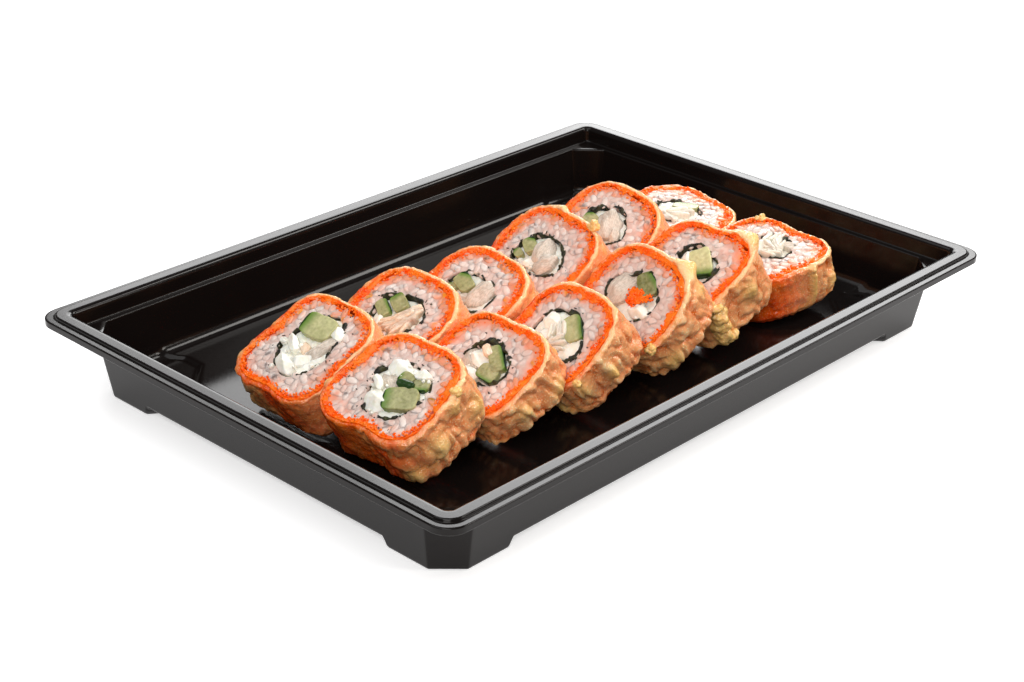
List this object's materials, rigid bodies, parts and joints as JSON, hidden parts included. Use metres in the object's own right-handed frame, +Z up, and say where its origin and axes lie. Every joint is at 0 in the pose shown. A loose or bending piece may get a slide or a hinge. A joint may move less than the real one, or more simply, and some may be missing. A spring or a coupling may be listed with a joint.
{
  "type": "takeaway sushi tray",
  "caption": "Shallow black plastic takeaway tray on corner feet, with two shingled rows of thick battered deep-fried sushi roll slices standing in it.",
  "frame": {"origin": "middle of the tray at the level of the soles of its feet", "axes": "+X along the tray, the way the slices lean back; +Y across it, from the front row to the back row; +Z up"},
  "size_m": [0.269, 0.1896, 0.0455],
  "materials": {
    "tray": "glossy black thermoformed sheet",
    "batter": "crisp fried batter",
    "roe": "wet orange fish roe",
    "rice": "moist cooked rice, faintly pink from the roe",
    "nori": "damp dark green seaweed",
    "filling": "moist cucumber, soft cheese and fish"
  },
  "bodies": {
    "root": {"tray": "tray", "batter_front_1": "batter", "roe_front_1": "roe", "rice_front_1": "rice", "filling_front_1": "filling", "nori_front_1": "nori", "batter_front_2": "batter", "roe_front_2": "roe", "rice_front_2": "rice", "filling_front_2": "filling", "nori_front_2": "nori", "batter_front_3": "batter", "roe_front_3": "roe", "rice_front_3": "rice", "filling_front_3": "filling", "nori_front_3": "nori", "batter_front_4": "batter", "roe_front_4": "roe", "rice_front_4": "rice", "filling_front_4": "filling", "nori_front_4": "nori", "batter_front_5": "batter", "roe_front_5": "roe", "rice_front_5": "rice", "filling_front_5": "filling", "nori_front_5": "nori", "batter_front_6": "batter", "roe_front_6": "roe", "rice_front_6": "rice", "filling_front_6": "filling", "batter_back_1": "batter", "roe_back_1": "roe", "rice_back_1": "rice", "filling_back_1": "filling", "nori_back_1": "nori", "batter_back_2": "batter", "roe_back_2": "roe", "rice_back_2": "rice", "filling_back_2": "filling", "nori_back_2": "nori", "batter_back_3": "batter", "roe_back_3": "roe", "rice_back_3": "rice", "filling_back_3": "filling", "nori_back_3": "nori", "batter_back_4": "batter", "roe_back_4": "roe", "rice_back_4": "rice", "filling_back_4": "filling", "nori_back_4": "nori", "batter_back_5": "batter", "roe_back_5": "roe", "rice_back_5": "rice", "filling_back_5": "filling", "nori_back_5": "nori", "batter_back_6": "batter", "roe_back_6": "roe", "rice_back_6": "rice", "filling_back_6": "filling", "nori_back_6": "nori"}
  },
  "joints": []
}
